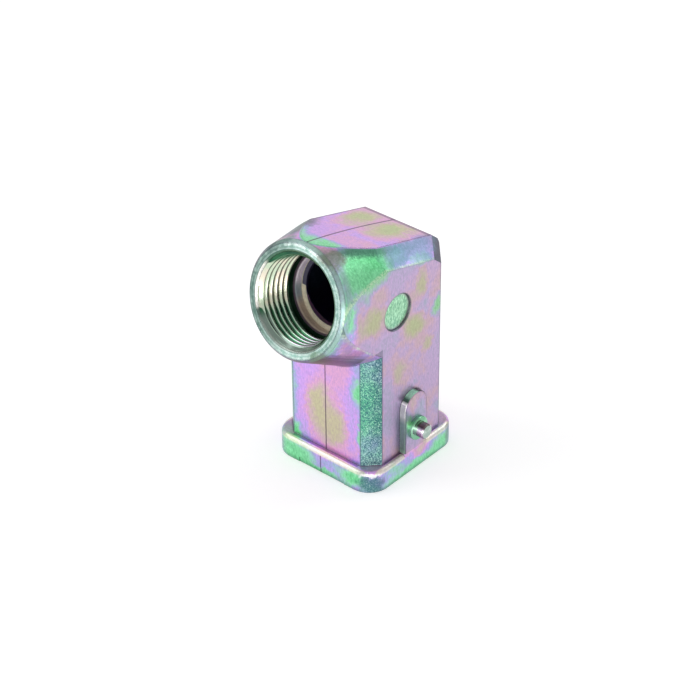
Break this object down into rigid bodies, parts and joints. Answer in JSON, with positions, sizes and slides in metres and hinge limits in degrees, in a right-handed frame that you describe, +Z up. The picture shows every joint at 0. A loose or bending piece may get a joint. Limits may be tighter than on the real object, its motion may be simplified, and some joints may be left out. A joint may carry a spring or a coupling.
{
  "type": "connector hood",
  "caption": "Small die-cast hood for a rectangular heavy-duty connector, with an angled threaded cable entry, an open foot rim, arched side pads and locking pegs.",
  "frame": {"origin": "centre of the open mating rim at the bottom of the foot", "axes": "+Z up, away from the housing below; -Y towards the cable entry; +X towards the side with the round marking recess"},
  "size_m": [0.034, 0.039, 0.0583],
  "materials": {
    "hood_shell": "zinc casting with an iridescent passivated surface in pink, green and blue-violet",
    "locking_pegs": "turned steel with the same passivated film, paler"
  },
  "bodies": {
    "root": {"hood_shell": "hood_shell", "locking_peg_right": "locking_pegs", "locking_peg_left": "locking_pegs"}
  },
  "joints": []
}
